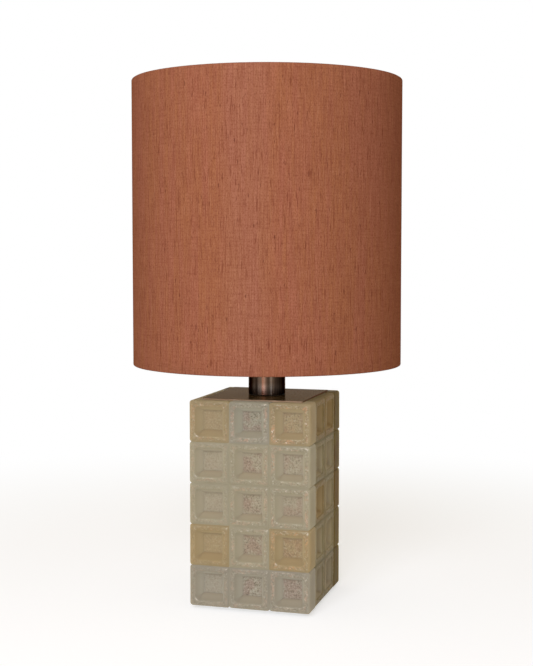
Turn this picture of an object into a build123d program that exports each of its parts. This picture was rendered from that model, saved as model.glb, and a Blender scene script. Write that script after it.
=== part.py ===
from build123d import *

import os
from math import atan, degrees

os.makedirs("parts", exist_ok=True)

# Table lamp: a column of cast glass tiles round a sheet-metal core, with a short turned neck
# and a drum shade. Millimetres, +Z up. The origin is on the table, on the lamp's upright axis,
# and the front faces -Y.

# Glass tiles
tile_size = 44.6
tile_joint = 0.4
tile_depth = 25.0
tile_corner = 2.5
tile_bevel = 2.0
well_mouth = 32.0
well_mouth_corner = 4.5
well_floor = 21.5
well_depth = 14.0
courses = 5
front_columns = 3
side_columns = 2

# Core and the two plates that clamp the column
core_wall = 1.0
core_flange = 12.0
bond_gap = 0.4
base_plate_thickness = 1.5
top_plate_thickness = 1.5
plate_inset_x = 10.8
plate_inset_y = 11.7
plate_corner = 2.0
plate_edge_break = 0.3
dish_depth = 8.0
dish_radius = 18.0

# Feet
foot_height = 2.5
foot_radius = 7.5
foot_setback = 9.0

# Tie rod and its fasteners
rod_radius = 5.0
rod_wall = 1.0
rod_clearance = 0.2
rod_below_nut = 1.0
rod_above_nut = 2.5
nut_rim = 2.0
nut_thickness = 4.0
nut_clearance = 0.05
washer_width = 5.0
washer_thickness = 1.5

# Neck and the gasket under it
gasket_inset = 0.9
gasket_thickness = 0.6
neck_radius = 20.5
neck_height = 58.0
neck_floor = 3.0
neck_rim_wall = 1.6
neck_rim_depth = 12.7
neck_wall = 3.0

# Lampholder: insert, sleeve, screw shell, contact and terminal screws
fit_clearance = 0.2
insert_flange_thickness = 3.0
insert_body_depth = 14.0
insert_table_margin = 0.1
insert_table_height = 2.0
collar_overhang = 3.5
collar_thickness = 2.5
sleeve_thread_radius = 19.6
sleeve_clearance = 0.4
shell_wall = 0.8
shell_clearance = 0.3
shell_setback = 3.2
contact_width = 6.0
contact_reach = 9.0
contact_fold = 1.5
contact_rise = 2.6
contact_thickness = 0.5
terminal_head_radius = 3.0
terminal_head_height = 2.2
terminal_spacing = 18.0

# Bulb
bulb_running_gap = 0.3
bulb_rim_gap = 0.5
bulb_contact_radius = 4.7
bulb_contact_height = 1.2
bulb_insulator_radius = 9.5
bulb_insulator_height = 2.6
bulb_cap_radius = 13.1
bulb_cap_length = 21.5
bulb_body_flare = 2.9
bulb_body_length = 14.0
bulb_globe_length = 66.0
bulb_dome_height = 9.0
bulb_dome_inset = 5.0

# Shade
shade_radius = 148.0
shade_height = 311.0
shade_above_glass = 35.4
cover_thickness = 0.8
lining_thickness = 0.5
lining_gap = 0.1
strip_thickness = 2.0
strip_height = 4.0
strip_edge_gap = 0.8
arm_radius = 1.5
arm_count = 3
weld_gap = 0.15
fitter_clearance = 0.6
fitter_width = 9.8
fitter_thickness = 1.5
seat_gap = 0.2
ring_clearance = 0.25
ring_wall = 6.65
ring_height = 7.0
ring_notches = 8
ring_notch_width = 4.0
ring_notch_depth = 1.6

# Cord inlet in the lowest course at the back
inlet_bore_radius = 3.6
inlet_body_wall = 1.6
inlet_clearance = 0.1
inlet_flange_width = 2.3
inlet_flange_thickness = 2.0
inlet_lip_width = 1.0
inlet_lip_thickness = 1.5

# Worked-out places of the column
tile_pitch = tile_size + tile_joint
column_width = front_columns * tile_pitch - tile_joint
slab_back = (side_columns * tile_pitch + tile_joint) / 2
column_depth = 2 * (slab_back + tile_depth)
cavity_width = column_width - 2 * tile_depth
glass_bottom = foot_height + base_plate_thickness
glass_top = glass_bottom + courses * tile_pitch - tile_joint
plate_width = column_width - 2 * plate_inset_x
plate_depth = column_depth - 2 * plate_inset_y
core_width = cavity_width - 2 * bond_gap
core_depth = 2 * (slab_back - bond_gap)
inlet_height = glass_bottom + tile_size / 2
well_taper = degrees(atan((well_mouth - well_floor) / 2 / well_depth))

# Worked-out radii of what fits together
rod_hole_radius = rod_radius + rod_clearance
gasket_radius = neck_radius - gasket_inset
neck_rim_bore_radius = neck_radius - neck_rim_wall
neck_bore_radius = neck_radius - neck_wall
shell_bore_radius = bulb_cap_radius + shell_clearance
shell_radius = shell_bore_radius + shell_wall
insert_table_radius = shell_radius + insert_table_margin
sleeve_bore_radius = shell_radius + sleeve_clearance
collar_radius = neck_radius + collar_overhang
bulb_body_radius = bulb_cap_radius + bulb_body_flare
fitter_bore_radius = sleeve_thread_radius + fitter_clearance
fitter_radius = fitter_bore_radius + fitter_width
ring_bore_radius = sleeve_thread_radius + ring_clearance
ring_radius = ring_bore_radius + ring_wall
inlet_body_radius = inlet_bore_radius + inlet_body_wall
inlet_hole_radius = inlet_body_radius + inlet_clearance

# Worked-out heights along the axis
dish_roof = foot_height + dish_depth
base_nut_bottom = dish_roof - washer_thickness - nut_thickness
neck_bottom = glass_top + top_plate_thickness + gasket_thickness
neck_top = neck_bottom + neck_height
neck_step = neck_top - neck_rim_depth
neck_nut_bottom = neck_bottom + neck_floor
insert_top = neck_step + insert_flange_thickness + insert_table_height
sleeve_seat = neck_step + insert_flange_thickness
collar_top = neck_top + collar_thickness
bulb_bottom = insert_top + contact_thickness + contact_rise + bulb_running_gap
bulb_cap_bottom = bulb_bottom + bulb_contact_height + bulb_insulator_height
bulb_cap_top = bulb_cap_bottom + bulb_cap_length
sleeve_top = bulb_cap_top - bulb_rim_gap
shell_top = sleeve_top - shell_setback
bulb_body_top = bulb_cap_top + bulb_body_length
bulb_top = bulb_body_top + bulb_globe_length
shade_bottom = glass_top + shade_above_glass
shade_top = shade_bottom + shade_height
fitter_bottom = collar_top + seat_gap
ring_bottom = fitter_bottom + fitter_thickness + seat_gap


def finish(piece, name):
    """Labels a finished piece and writes its file."""
    piece.part.label = name
    export_step(piece.part, f"parts/{name}.step")


def turned_part(outline):
    """A round part from its half section, given as points of radius and height."""
    with BuildPart() as turned:
        with BuildSketch(Plane.XZ):
            with BuildLine():
                Polyline(*outline, close=True)
            make_face()
        revolve(axis=Axis.Z)
    return turned


def tube_outline(inner, outer, bottom, top):
    """The half section of a plain tube or washer."""
    return [(inner, bottom), (outer, bottom), (outer, top), (inner, top)]


# One cast tile with a tapered well, its face at z = 0 and looking down
with BuildPart() as tile:
    with BuildSketch(Plane.XY):
        Rectangle(tile_size, tile_size)
    extrude(amount=tile_depth)
    chamfer(tile.edges().filter_by(Axis.Z), length=tile_corner)
    chamfer(tile.faces().sort_by(Axis.Z)[0].edges(), length=tile_bevel)
    with BuildSketch(Plane.XY) as mouth:
        Rectangle(well_mouth, well_mouth)
        chamfer(mouth.vertices(), length=well_mouth_corner)
    extrude(amount=well_depth, taper=well_taper, mode=Mode.SUBTRACT)


def glass_row(name, columns, turn, face_distance, course, drilled=False):
    """One course of tiles on one face of the column; course 1 is the top one."""
    height = glass_top - tile_size / 2 - (course - 1) * tile_pitch
    with BuildPart() as row:
        with Locations(Location((0, 0, height), (0, 0, turn))):
            with Locations(Location((0, -face_distance, 0), (-90, 0, 0))):
                with GridLocations(tile_pitch, tile_pitch, columns, 1):
                    add(tile.part)
        if drilled:
            with BuildSketch(Plane.XZ.offset(-slab_back - tile_depth)):
                with Locations((0, height)):
                    Circle(inlet_hole_radius)
            extrude(amount=tile_depth, mode=Mode.SUBTRACT)
    finish(row, name)


for course in range(1, courses + 1):
    glass_row(f"front_glass_row_{course}", front_columns, 0, column_depth / 2, course)
    glass_row(f"right_glass_row_{course}", side_columns, 90, column_width / 2, course)
    glass_row(f"back_glass_row_{course}", front_columns, 180, column_depth / 2, course, course == courses)
    glass_row(f"left_glass_row_{course}", side_columns, 270, column_width / 2, course)

# Folded core box that the tiles are bonded to, with turned-in flanges at both ends
with BuildPart() as core_box:
    with BuildSketch(Plane.XY.offset(glass_bottom)):
        Rectangle(core_width, core_depth)
    extrude(amount=glass_top - glass_bottom)
    with BuildSketch(Plane.XY.offset(glass_bottom + core_wall)):
        Rectangle(core_width - 2 * core_wall, core_depth - 2 * core_wall)
    extrude(amount=glass_top - glass_bottom - 2 * core_wall, mode=Mode.SUBTRACT)
    with BuildSketch(Plane.XY.offset(glass_bottom)):
        Rectangle(core_width - 2 * core_flange, core_depth - 2 * core_flange)
    extrude(amount=glass_top - glass_bottom, mode=Mode.SUBTRACT)
    with BuildSketch(Plane.XZ.offset(-core_depth / 2)):
        with Locations((0, inlet_height)):
            Circle(inlet_hole_radius)
    extrude(amount=2 * core_wall, mode=Mode.SUBTRACT)
finish(core_box, "core_box")

# Base plate, pressed up in the middle to make room for the nut
with BuildPart() as base_plate:
    with BuildSketch(Plane.XY.offset(foot_height)):
        RectangleRounded(plate_width, plate_depth, plate_corner)
    extrude(amount=base_plate_thickness)
    with BuildSketch(Plane.XY.offset(foot_height)):
        Circle(dish_radius + base_plate_thickness)
    extrude(amount=dish_depth + base_plate_thickness)
    with BuildSketch(Plane.XY.offset(foot_height)):
        Circle(dish_radius)
    extrude(amount=dish_depth, mode=Mode.SUBTRACT)
    with BuildSketch(Plane.XY.offset(dish_roof)):
        Circle(rod_hole_radius)
    extrude(amount=base_plate_thickness, mode=Mode.SUBTRACT)
finish(base_plate, "base_plate")

# Top plate, with its upper edges broken
with BuildPart() as top_plate:
    with BuildSketch(Plane.XY.offset(glass_top)):
        RectangleRounded(plate_width, plate_depth, plate_corner)
        Circle(rod_hole_radius, mode=Mode.SUBTRACT)
    extrude(amount=top_plate_thickness)
    chamfer(top_plate.faces().sort_by(Axis.Z)[-1].outer_wire().edges(), length=plate_edge_break)
finish(top_plate, "top_plate")

# Rubber feet under the base plate's corners
foot_span_x = plate_width - 2 * (foot_setback + foot_radius)
foot_span_y = plate_depth - 2 * (foot_setback + foot_radius)
with BuildPart() as feet:
    with BuildSketch():
        with GridLocations(foot_span_x, foot_span_y, 2, 2):
            Circle(foot_radius)
    extrude(amount=foot_height)
finish(feet, "feet")

# Hollow tie rod from the dish to the neck's floor
tie_rod = turned_part(
    tube_outline(
        rod_radius - rod_wall,
        rod_radius,
        base_nut_bottom - rod_below_nut,
        neck_nut_bottom + nut_thickness + rod_above_nut,
    )
)
finish(tie_rod, "tie_rod")


def hex_nut(name, bottom):
    """A thin hexagon nut on the tie rod."""
    with BuildPart() as nut:
        with BuildSketch(Plane.XY.offset(bottom)):
            RegularPolygon(rod_radius + nut_rim, 6, major_radius=False)
            Circle(rod_radius + nut_clearance, mode=Mode.SUBTRACT)
        extrude(amount=nut_thickness)
    finish(nut, name)


hex_nut("base_nut", base_nut_bottom)
hex_nut("neck_nut", neck_nut_bottom)

base_washer = turned_part(
    tube_outline(rod_hole_radius, rod_radius + washer_width, dish_roof - washer_thickness, dish_roof)
)
finish(base_washer, "base_washer")

# Fibre gasket that shows as the dark line under the neck
neck_gasket = turned_part(
    tube_outline(rod_hole_radius, gasket_radius, neck_bottom - gasket_thickness, neck_bottom)
)
finish(neck_gasket, "neck_gasket")

# Turned neck: a cup with a step inside its rim for the lampholder's insert
neck = turned_part(
    [
        (rod_hole_radius, neck_bottom),
        (neck_radius, neck_bottom),
        (neck_radius, neck_top),
        (neck_rim_bore_radius, neck_top),
        (neck_rim_bore_radius, neck_step),
        (neck_bore_radius, neck_step),
        (neck_bore_radius, neck_nut_bottom),
        (rod_hole_radius, neck_nut_bottom),
    ]
)
finish(neck, "neck")

# Insulating insert, its flange clamped between the neck's step and the sleeve
holder_insert = turned_part(
    [
        (0, neck_step - insert_body_depth),
        (neck_bore_radius - fit_clearance, neck_step - insert_body_depth),
        (neck_bore_radius - fit_clearance, neck_step),
        (neck_rim_bore_radius - fit_clearance, neck_step),
        (neck_rim_bore_radius - fit_clearance, sleeve_seat),
        (insert_table_radius, sleeve_seat),
        (insert_table_radius, insert_top),
        (0, insert_top),
    ]
)
finish(holder_insert, "holder_insert")

# Sleeve: a spigot in the neck's rim, a collar that carries the shade, and the threaded part
holder_sleeve = turned_part(
    [
        (sleeve_bore_radius, sleeve_seat),
        (neck_rim_bore_radius - fit_clearance, sleeve_seat),
        (neck_rim_bore_radius - fit_clearance, neck_top),
        (collar_radius, neck_top),
        (collar_radius, collar_top),
        (sleeve_thread_radius, collar_top),
        (sleeve_thread_radius, sleeve_top),
        (sleeve_bore_radius, sleeve_top),
    ]
)
finish(holder_sleeve, "holder_sleeve")

screw_shell = turned_part(tube_outline(shell_bore_radius, shell_radius, insert_top, shell_top))
finish(screw_shell, "screw_shell")

# Centre contact: a bent spring tongue on the insert's table
with BuildPart() as centre_contact:
    with BuildSketch(Plane.XZ.offset(-contact_width / 2)):
        with BuildLine():
            Polyline(
                (-contact_reach / 2, insert_top),
                (contact_reach / 2, insert_top),
                (contact_reach / 2, insert_top + contact_thickness),
                (contact_fold - contact_reach / 2, insert_top + contact_thickness),
                (0, insert_top + contact_rise),
                (contact_reach / 2 - contact_fold, insert_top + contact_rise),
                (contact_reach / 2 - contact_fold, insert_top + contact_rise + contact_thickness),
                (-contact_thickness, insert_top + contact_rise + contact_thickness),
                (-contact_reach / 2, insert_top + contact_thickness),
                close=True,
            )
        make_face()
    extrude(amount=contact_width)
finish(centre_contact, "centre_contact")

# Terminal screws under the insert
with BuildPart() as terminal_screws:
    with BuildSketch(Plane.XY.offset(neck_step - insert_body_depth - terminal_head_height)):
        with GridLocations(terminal_spacing, 1, 2, 1):
            Circle(terminal_head_radius)
    extrude(amount=terminal_head_height)
finish(terminal_screws, "terminal_screws")

# Bulb: contact, insulator, screw cap, plastic body and opal globe with a tapered end
bulb_contact = turned_part(
    tube_outline(0, bulb_contact_radius, bulb_bottom, bulb_bottom + bulb_contact_height)
)
finish(bulb_contact, "bulb_contact")

bulb_insulator = turned_part(
    tube_outline(0, bulb_insulator_radius, bulb_bottom + bulb_contact_height, bulb_cap_bottom)
)
finish(bulb_insulator, "bulb_insulator")

bulb_cap = turned_part(tube_outline(0, bulb_cap_radius, bulb_cap_bottom, bulb_cap_top))
finish(bulb_cap, "bulb_cap")

bulb_body = turned_part(tube_outline(0, bulb_body_radius, bulb_cap_top, bulb_body_top))
finish(bulb_body, "bulb_body")

with BuildPart() as bulb_globe:
    with BuildSketch(Plane.XY.offset(bulb_body_top)):
        Circle(bulb_body_radius)
    extrude(amount=bulb_globe_length)
    top_edge = bulb_globe.edges().sort_by(Axis.Z)[-1]
    top_face = bulb_globe.faces().sort_by(Axis.Z)[-1]
    chamfer(top_edge, length=bulb_dome_inset, length2=bulb_dome_height, reference=top_face)
finish(bulb_globe, "bulb_globe")

# Shade: stretched cover and the stiff lining behind it
cover_inner = shade_radius - cover_thickness
lining_outer = cover_inner - lining_gap
lining_inner = lining_outer - lining_thickness
shade_cover = turned_part(tube_outline(cover_inner, shade_radius, shade_bottom, shade_top))
finish(shade_cover, "shade_cover")

shade_lining = turned_part(
    tube_outline(
        lining_inner,
        lining_outer,
        shade_bottom + strip_edge_gap,
        shade_top - strip_edge_gap,
    )
)
finish(shade_lining, "shade_lining")

# Steel rings inside the lining's two edges
strip_outer = lining_inner - lining_gap
strip_inner = strip_outer - strip_thickness


def rim_ring(name, bottom):
    """A flat steel ring that holds one edge of the shade round."""
    ring = turned_part(tube_outline(strip_inner, strip_outer, bottom, bottom + strip_height))
    finish(ring, name)


rim_ring("top_rim_ring", shade_top - strip_edge_gap - strip_height)
rim_ring("bottom_rim_ring", shade_bottom + strip_edge_gap)

# Fitter: the plate ring on the sleeve's collar, and its wire arms to the bottom rim ring
fitter_ring = turned_part(
    tube_outline(fitter_bore_radius, fitter_radius, fitter_bottom, fitter_bottom + fitter_thickness)
)
finish(fitter_ring, "fitter_ring")

arm_inner = fitter_radius + weld_gap
arm_outer = strip_inner - weld_gap
arm_start = Vector(0, fitter_radius - arm_radius, fitter_bottom + fitter_thickness / 2)
arm_end = Vector(0, strip_outer, shade_bottom + strip_edge_gap + strip_height / 2)
with BuildPart() as fitter_arms:
    with BuildSketch(Plane(arm_start, x_dir=(1, 0, 0), z_dir=arm_end - arm_start)):
        Circle(arm_radius)
    extrude(amount=(arm_end - arm_start).length)
    with BuildSketch(Plane.XY.offset(shade_bottom)):
        Circle(arm_outer)
        Circle(arm_inner, mode=Mode.SUBTRACT)
    extrude(amount=ring_bottom - shade_bottom, mode=Mode.INTERSECT)
    one_arm = fitter_arms.part
    with PolarLocations(0, arm_count):
        add(one_arm)
finish(fitter_arms, "fitter_arms")

# Castellated ring that screws down on the fitter
with BuildPart() as retaining_ring:
    with BuildSketch(Plane.XY.offset(ring_bottom)):
        Circle(ring_radius)
        Circle(ring_bore_radius, mode=Mode.SUBTRACT)
        with PolarLocations(ring_radius, ring_notches):
            Rectangle(2 * ring_notch_depth, ring_notch_width, mode=Mode.SUBTRACT)
    extrude(amount=ring_height)
finish(retaining_ring, "retaining_ring")

# Rubber bush through the lowest back tile and the core's wall
inlet_floor = column_depth / 2 - well_depth
inlet_head = inlet_floor + inlet_flange_thickness
inlet_wall = core_depth / 2 - core_wall
with BuildPart() as inlet_bush:
    for start, length, radius, mode in (
        (inlet_head, inlet_flange_thickness, inlet_body_radius + inlet_flange_width, Mode.ADD),
        (inlet_floor, inlet_floor - inlet_wall, inlet_body_radius, Mode.ADD),
        (inlet_wall, inlet_lip_thickness, inlet_body_radius + inlet_lip_width, Mode.ADD),
        (inlet_head, inlet_head - inlet_wall + inlet_lip_thickness, inlet_bore_radius, Mode.SUBTRACT),
    ):
        with BuildSketch(Plane.XZ.offset(-start)):
            with Locations((0, inlet_height)):
                Circle(radius)
        extrude(amount=length, mode=mode)
finish(inlet_bush, "inlet_bush")

for piece, height in (("glass", glass_top), ("neck", neck_top), ("bulb", bulb_top), ("shade", shade_top)):
    print(f"top of {piece}: {height:.1f} mm")
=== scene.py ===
import math
import random

import bmesh
import bpy
from mathutils import Matrix, Vector, noise


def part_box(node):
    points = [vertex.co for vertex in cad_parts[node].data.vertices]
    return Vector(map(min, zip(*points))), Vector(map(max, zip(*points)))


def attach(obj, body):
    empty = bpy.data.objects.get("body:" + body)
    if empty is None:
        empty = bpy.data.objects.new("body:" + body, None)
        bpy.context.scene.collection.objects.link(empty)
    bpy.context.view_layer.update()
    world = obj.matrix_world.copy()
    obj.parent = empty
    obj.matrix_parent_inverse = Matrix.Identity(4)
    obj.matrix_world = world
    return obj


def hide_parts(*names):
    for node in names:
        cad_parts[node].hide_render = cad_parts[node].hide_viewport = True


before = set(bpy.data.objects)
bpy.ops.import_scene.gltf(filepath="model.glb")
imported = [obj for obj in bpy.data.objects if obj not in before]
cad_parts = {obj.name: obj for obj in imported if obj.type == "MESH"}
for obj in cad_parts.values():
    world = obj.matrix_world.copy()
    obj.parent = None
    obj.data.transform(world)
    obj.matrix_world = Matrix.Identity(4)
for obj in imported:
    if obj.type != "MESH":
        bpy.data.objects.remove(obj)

# Everything is in metres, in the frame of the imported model: +Z up, the lamp's front towards -Y.
MM = 0.001
FULL_TURN = 2 * math.pi
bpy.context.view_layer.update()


# Shader arithmetic


class Value:
    """A node's output that can stand in Python arithmetic; each operation adds a Math node."""

    def __init__(self, finish, output):
        self.finish = finish
        self.output = output

    def beside(self, name):
        """Another output of the same node."""
        return Value(self.finish, self.output.node.outputs[name])

    def __add__(self, other):
        return self.finish.math("ADD", self, other)

    def __radd__(self, other):
        return self.finish.math("ADD", other, self)

    def __sub__(self, other):
        return self.finish.math("SUBTRACT", self, other)

    def __rsub__(self, other):
        return self.finish.math("SUBTRACT", other, self)

    def __mul__(self, other):
        return self.finish.math("MULTIPLY", self, other)

    def __rmul__(self, other):
        return self.finish.math("MULTIPLY", other, self)

    def clamped(self):
        """The same value, held between 0 and 1."""
        return self.finish.math("ADD", self, 0, clamp=True)


class Finish:
    """The node tree of one finish, of the world or of the floor."""

    def __init__(self, owner):
        owner.use_nodes = True
        self.owner = owner
        self.tree = owner.node_tree
        self.tree.nodes.clear()

    def node(self, kind, settings=None, sockets=None, output=0):
        """Adds a node: its settings come first, then values or links for its sockets."""
        added = self.tree.nodes.new("ShaderNode" + kind)
        for name, setting in (settings or {}).items():
            if name == "stops":
                set_stops(added.color_ramp, setting)
            else:
                setattr(added, name, setting)
        for name, given in (sockets or {}).items():
            socket = added.inputs[name]
            if isinstance(given, Value):
                self.tree.links.new(given.output, socket)
            else:
                socket.default_value = rgba(given) if socket.type == "RGBA" else given
        return Value(self, added.outputs[output]) if added.outputs else added

    def math(self, operation, *operands, clamp=False):
        """A Math node on values or numbers."""
        settings = {"operation": operation, "use_clamp": clamp}
        return self.node("Math", settings, dict(enumerate(operands)))

    def place(self):
        """The point on the piece, in metres, as a vector."""
        return self.node("TexCoord", output="Object")

    def split(self, vector):
        """The three values of a vector."""
        x = self.node("SeparateXYZ", sockets={0: vector})
        return x, x.beside("Y"), x.beside("Z")

    def joined(self, x, y):
        """A vector of two values, with nothing for the third."""
        return self.node("CombineXYZ", sockets={0: x, 1: y})

    def cloud(self, vector, scale, detail=2.0, roughness=0.5):
        """Noise from 0 to 1 at so many grains a metre."""
        sockets = {"Vector": vector, "Scale": scale, "Detail": detail, "Roughness": roughness}
        return self.node("TexNoise", sockets=sockets)

    def stretched(self, vector, factors):
        """A vector with each part multiplied by its own factor."""
        return self.node("VectorMath", {"operation": "MULTIPLY"}, {0: vector, 1: factors})

    def step(self, value, low, high):
        """0 below low, 1 above high, smooth between them."""
        sockets = {0: value, 1: low, 2: high}
        return self.node("MapRange", {"interpolation_type": "SMOOTHSTEP"}, sockets)

    def mix(self, share, colour_a, colour_b, blend="MIX"):
        """A mix of two colours."""
        settings = {"data_type": "RGBA", "blend_type": blend}
        sockets = {0: share, 6: colour_a, 7: colour_b}
        return self.node("Mix", settings, sockets, output=2)

    def told(self, name, output="Fac"):
        """A value that the mesh holds at each of its points, or a place."""
        return self.node("Attribute", {"attribute_name": name}, output=output)

    def bumped(self, height, depth):
        """A normal from a height of 0 to 1 that stands for a real depth."""
        sockets = {"Height": height, "Distance": depth, "Strength": 1.0}
        return self.node("Bump", sockets=sockets)

    def surface(self, **sockets):
        """Ends the tree in a Principled shader; names use _ for spaces."""
        named = {name.replace("_", " "): given for name, given in sockets.items()}
        shader = self.node("BsdfPrincipled", sockets=named)
        self.node("OutputMaterial", sockets={"Surface": shader})
        return self.owner


def rgba(colour):
    """A colour of three numbers gets its alpha; anything else stays as it is."""
    return (*colour, 1.0) if isinstance(colour, tuple) and len(colour) == 3 else colour


def set_stops(ramp, stops):
    """Gives a ramp its pairs of place and colour; the first is at 0 and the last at 1."""
    ramp.elements[0].color, ramp.elements[1].color = rgba(stops[0][1]), rgba(stops[-1][1])
    for place, colour in stops[1:-1]:
        ramp.elements.new(place).color = rgba(colour)


def tone(red, green, blue):
    """A colour given as it looks on a screen, from 0 to 255, as linear light."""
    return tuple(((part / 255 + 0.055) / 1.055) ** 2.4 for part in (red, green, blue))


def new_finish(name):
    return Finish(bpy.data.materials.new(name))


# Finishes


def cast_glass(name, body_colour, painted_lighter_well_colour, painted_reflection_colour):
    """Frosted cast glass: smooth well walls, hammered rim and grainy floor, with painted warm
    reflections of the shade and painted light and shade.
    """
    glass = new_finish(name)
    place = glass.place()
    skin = glass.told("skin", "Vector")
    rim = glass.told("rim")
    floor = glass.told("floor")
    sunk = glass.told("sunk")
    glitter = glass.told("glitter")
    gleam = glass.told("gleam")
    lit = glass.told("lit")
    worn = glass.told("worn")
    rough_skin = (rim + floor).clamped()

    def on_skin(around, down, detail=1.0, roughness=0.5):
        """Noise with so many grains a metre round the tile's skin and down it."""
        return glass.cloud(glass.stretched(skin, (around, around, down)), 1.0, detail, roughness)

    clouds = glass.step(glass.cloud(place, 60, 3.0), 0.3, 0.7)
    hammering = on_skin(260, 520, 3.0, 0.6)
    mottle = glass.cloud(place, 520, 2.0, 0.6)
    grain = glass.cloud(place, 900, 2.0, 0.6)

    body = glass.mix(clouds * 0.4, body_colour, tuple(part * 0.92 for part in body_colour))
    # Painted light: the wells take the lighter well colour, standing for light coming through the
    # glass.
    body = glass.mix((sunk * 1.6).clamped(), body, painted_lighter_well_colour)
    # Painted shade: the well's upward-facing bottom wall is darkened and browned.
    shelf = glass.told("shelf")
    body = glass.mix(shelf * 0.85, body, glass.mix(1.0, body, (0.86, 0.79, 0.72), "MULTIPLY"))
    grey_floor = tuple(part * share for part, share in zip(painted_lighter_well_colour, (0.98, 0.97, 0.96)))
    mauve_floor = tuple(part * share for part, share in zip(painted_lighter_well_colour, (0.90, 0.78, 0.79)))
    patches = glass.step(glass.cloud(place, 75, 2.0), 0.38, 0.58)
    body = glass.mix(floor, body, glass.mix(patches * worn, grey_floor, mauve_floor))

    dark_share = floor * (worn + 0.35) + rim * (glitter * 0.7 + 0.25)
    darker = glass.step(mottle, 0.5, 0.32) * dark_share
    body = glass.mix((darker * 0.5).clamped(), body, tone(122, 110, 92))
    pale_share = floor * (worn * 0.4 + 0.4) + rim * (glitter * 0.7 + 0.2)
    paler = glass.step(mottle, 0.52, 0.7) * pale_share
    body = glass.mix((paler * 0.6).clamped(), body, tone(206, 197, 178))
    # Painted shadow: a dark line along the top of the well's floor, under its upper wall.
    body = glass.mix(glass.told("nook") * 0.4, body, tone(112, 98, 76))

    # Painted reflection: warm flecks on the rims and floors stand for reflections of the rust shade
    # above.
    reflection_places = glass.step(on_skin(60, 110), 0.4, 0.62)
    flecks = glass.step(on_skin(380, 420, 2.0, 0.6), 0.42, 0.6)
    warm = flecks * reflection_places * glitter * (rim + floor * 0.3)
    body = glass.mix(warm * 0.85, body, painted_reflection_colour)
    # Painted highlights: glints on the hammered rims and bright lines on the lips facing up and
    # right.
    painted_glints = glass.step(hammering, 0.6, 0.7) * rim * glitter * 0.8
    lined = glass.step(on_skin(70, 70), 0.42, 0.56)
    painted_edge_highlights = gleam * glass.step(hammering, 0.42, 0.56) * lined * (glitter * 0.9 + 0.4)
    body = glass.mix((painted_glints + painted_edge_highlights).clamped(), body, tone(240, 229, 213))

    # Painted shade: the back slab's side faces are darkened and browned, with grain and stains.
    stains = glass.step(glass.cloud(place, 38, 2.0), 0.46, 0.6)
    raw = glass.mix(glass.step(grain, 0.35, 0.65) * 0.5, (0.49, 0.39, 0.155), (0.62, 0.52, 0.245))
    raw = glass.mix(stains * 0.7, raw, (0.41, 0.255, 0.135))
    body = glass.mix(glass.told("raw_side"), body, glass.mix(1.0, body, raw, "MULTIPLY"))
    # Painted shade: the side that gets no painted light has much darker rims and slightly darker
    # walls.
    painted_side_shade = glass.mix(glass.step(sunk, 0.02, 0.14), (0.60, 0.56, 0.43), (0.97, 0.94, 0.88))
    body = glass.mix(glass.step(lit, 0.4, 0.0), body, glass.mix(1.0, body, painted_side_shade, "MULTIPLY"))
    # Painted glow: the glass gives off light as emission, most on the front, standing for light
    # coming through it; its base colour is darkened to match.
    through = glass.mix(lit * 0.39 + 0.11, (0, 0, 0), body)
    body_dimmed_for_glow = glass.mix(lit * 0.5 + 0.08, body, (0, 0, 0))

    relief = rim * hammering + rough_skin * mottle * 0.5 + clouds * 0.3
    return glass.surface(
        Base_Color=body_dimmed_for_glow,
        Roughness=0.62 - rough_skin * glass.step(hammering, 0.4, 0.6) * 0.2,
        Specular_IOR_Level=0.07,
        Subsurface_Weight=1.0,
        Subsurface_Radius=(1.0, 0.9, 0.7),
        Subsurface_Scale=0.03,
        Emission_Color=through,
        Emission_Strength=1.0,
        Normal=glass.bumped(relief, 0.5 * MM),
    )


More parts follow.
